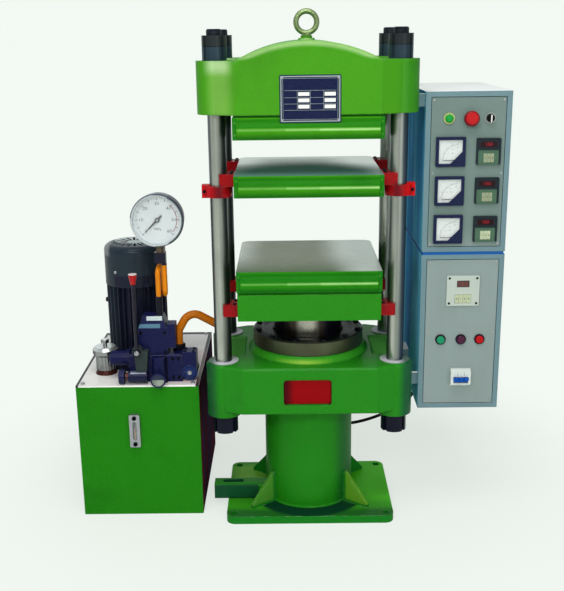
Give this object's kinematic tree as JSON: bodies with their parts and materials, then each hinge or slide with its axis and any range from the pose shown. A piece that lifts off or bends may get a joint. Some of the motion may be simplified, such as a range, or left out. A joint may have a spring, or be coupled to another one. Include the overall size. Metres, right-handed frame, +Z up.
{
  "type": "plate vulcanizing press",
  "caption": "Upright column press with heated plates that a hydraulic ram closes, with an oil tank and pump beside it and electric control boxes.",
  "frame": {"origin": "on the floor, in the middle of the four foundation bolts", "axes": "X to the right of the person at the controls, Y to the back, Z up"},
  "size_m": [1.229, 0.6716, 1.465],
  "materials": {
    "press_green": "gloss enamel",
    "column_chrome": "ground and plated",
    "nut_black": "blackened",
    "eye_yellow": "yellow passivated",
    "gland_steel": "turned, oily",
    "ram_chrome": "polished",
    "plate_steel": "ground",
    "board_grey": "pressed board",
    "guide_red": "gloss enamel",
    "lid_cream": "gloss enamel",
    "level_glass": "clear window in a pale body",
    "filler_chrome": "plated",
    "motor_slate": "satin",
    "rotor_iron": "laminated core",
    "pump_metal": "cast",
    "valve_navy": "gloss",
    "valve_bronze": "worn",
    "knob_dark": "fluted, bright face",
    "valve_grey": "as cast",
    "lever_steel": "with a red grip",
    "gauge_chrome": "polished",
    "needle_black": "matt",
    "siphon_yellow": "bright",
    "pipe_orange": "enamel",
    "box_grey": "powder coat",
    "meter_white": "white dial in a dark rim",
    "controller_dark": "moulded",
    "timer_white": "moulded",
    "bezel_grey": "turned",
    "lamp_green": "lens",
    "stop_red": "moulded",
    "selector_black": "moulded",
    "button_green": "moulded",
    "button_dark": "moulded",
    "breaker_white": "moulded",
    "toggle_blue": "moulded",
    "cable_black": "sheath"
  },
  "bodies": {
    "frame": {"base_plate": "press_green", "cylinder_barrel": "press_green", "lower_beam": "press_green", "crown_beam": "press_green", "eyebolt": "eye_yellow", "columns": "column_chrome", "column_nuts": "nut_black", "gland_cap": "gland_steel", "upper_heating_plate": "plate_steel", "upper_cover": "press_green", "upper_board": "board_grey", "column_collars": "guide_red", "tank_shell": "press_green", "tank_lid": "lid_cream", "level_gauge": "level_glass", "filler_neck": "valve_bronze", "motor_housing": "motor_slate", "fan_cover": "motor_slate", "oil_pump": "pump_metal", "manifold_block": "valve_navy", "solenoid_valve": "valve_navy", "relief_valve": "valve_navy", "hand_valve": "valve_grey", "gauge_case": "gauge_chrome", "gauge_siphon": "siphon_yellow", "pressure_pipe": "pipe_orange", "lower_box": "box_grey", "upper_box": "box_grey", "box_panels": "box_grey", "ammeters": "meter_white", "controllers": "controller_dark", "timer": "timer_white", "control_bezels": "bezel_grey", "pilot_lamp": "lamp_green", "breaker": "breaker_white", "cable": "cable_black"},
    "ram_table": {"ram": "ram_chrome", "moving_table": "press_green", "table_guides": "guide_red", "lower_board": "board_grey", "lower_heating_plate": "plate_steel", "lower_cover": "press_green"},
    "middle_plate": {"middle_heating_plate": "plate_steel", "middle_cover": "press_green", "middle_guides": "guide_red"},
    "relief_wheel": {"relief_handwheel": "knob_dark"},
    "throttle": {"throttle_knob": "knob_dark"},
    "lever": {"valve_lever": "lever_steel"},
    "pressure_needle": {"gauge_needle": "needle_black"},
    "current_needle_1": {"ammeter_needle_1": "needle_black"},
    "current_needle_2": {"ammeter_needle_2": "needle_black"},
    "current_needle_3": {"ammeter_needle_3": "needle_black"},
    "breather": {"filler_cap": "filler_chrome"},
    "rotor": {"motor_rotor": "rotor_iron"},
    "emergency_stop": {"estop_button": "stop_red"},
    "selector": {"selector_knob": "selector_black"},
    "raise": {"raise_button": "button_green"},
    "lower": {"lower_button": "button_dark"},
    "stop": {"stop_button": "stop_red"},
    "toggle": {"breaker_toggle": "toggle_blue"}
  },
  "joints": [
    {"name": "ram_lift", "type": "slide", "parent": "frame", "child": "ram_table", "axis": [0, 0, 1], "range_m": [0, 0.297]},
    {"name": "middle_lift", "type": "slide", "parent": "frame", "child": "middle_plate", "axis": [0, 0, 1], "range_m": [0, 0.0943]},
    {"name": "relief_turn", "type": "hinge", "parent": "frame", "child": "relief_wheel", "pos_m": [-0.554, -0.102, 0.439], "axis": [1, 0, 0], "range_deg": [0, 720]},
    {"name": "throttle_turn", "type": "hinge", "parent": "frame", "child": "throttle", "pos_m": [-0.437, -0.119, 0.437], "axis": [0, 1, 0], "range_deg": [0, 720]},
    {"name": "lever_swing", "type": "hinge", "parent": "frame", "child": "lever", "pos_m": [-0.497, -0.1153, 0.5163], "axis": [0, 1, 0], "range_deg": [-20, 20]},
    {"name": "pressure_read", "type": "hinge", "parent": "frame", "child": "pressure_needle", "pos_m": [-0.423, -0.086, 0.9], "axis": [0, 1, 0], "range_deg": [0, 270], "stiffness_Nm_per_rad": 0.01, "springref_deg": -17.19},
    {"name": "current_read_1", "type": "hinge", "parent": "frame", "child": "current_needle_1", "pos_m": [0.4087, -0.126, 1.0623], "axis": [0, 1, 0], "range_deg": [0, 90], "stiffness_Nm_per_rad": 0.002, "springref_deg": -11.46},
    {"name": "current_read_2", "type": "hinge", "parent": "frame", "child": "current_needle_2", "pos_m": [0.4087, -0.126, 0.9558], "axis": [0, 1, 0], "range_deg": [0, 90], "stiffness_Nm_per_rad": 0.002, "springref_deg": -11.46},
    {"name": "current_read_3", "type": "hinge", "parent": "frame", "child": "current_needle_3", "pos_m": [0.4087, -0.126, 0.8493], "axis": [0, 1, 0], "range_deg": [0, 90], "stiffness_Nm_per_rad": 0.002, "springref_deg": -11.46},
    {"name": "breather_turn", "type": "hinge", "parent": "frame", "child": "breather", "pos_m": [-0.611, 0, 0.47], "axis": [0, 0, 1], "range_deg": [0, 90]},
    {"name": "rotor_spin", "type": "hinge", "parent": "frame", "child": "rotor", "pos_m": [-0.522, 0.1, 0.6], "axis": [0, 0, 1], "continuous": true},
    {"name": "estop_push", "type": "slide", "parent": "frame", "child": "emergency_stop", "axis": [0, 1, 0], "range_m": [0, 0.004]},
    {"name": "selector_turn", "type": "hinge", "parent": "frame", "child": "selector", "pos_m": [0.489, -0.133, 1.1745], "axis": [0, 1, 0], "range_deg": [-45, 45]},
    {"name": "raise_push", "type": "slide", "parent": "frame", "child": "raise", "axis": [0, 1, 0], "range_m": [0, 0.004], "stiffness_N_per_m": 400, "springref_m": -0.002},
    {"name": "lower_push", "type": "slide", "parent": "frame", "child": "lower", "axis": [0, 1, 0], "range_m": [0, 0.004], "stiffness_N_per_m": 400, "springref_m": -0.002},
    {"name": "stop_push", "type": "slide", "parent": "frame", "child": "stop", "axis": [0, 1, 0], "range_m": [0, 0.004], "stiffness_N_per_m": 400, "springref_m": -0.002},
    {"name": "toggle_throw", "type": "hinge", "parent": "frame", "child": "toggle", "pos_m": [0.436, -0.138, 0.432], "axis": [1, 0, 0], "range_deg": [0, 56]}
  ],
  "couplings": [
    {"joint": "middle_lift", "follows": "ram_lift", "ratio": 0.3175}
  ]
}
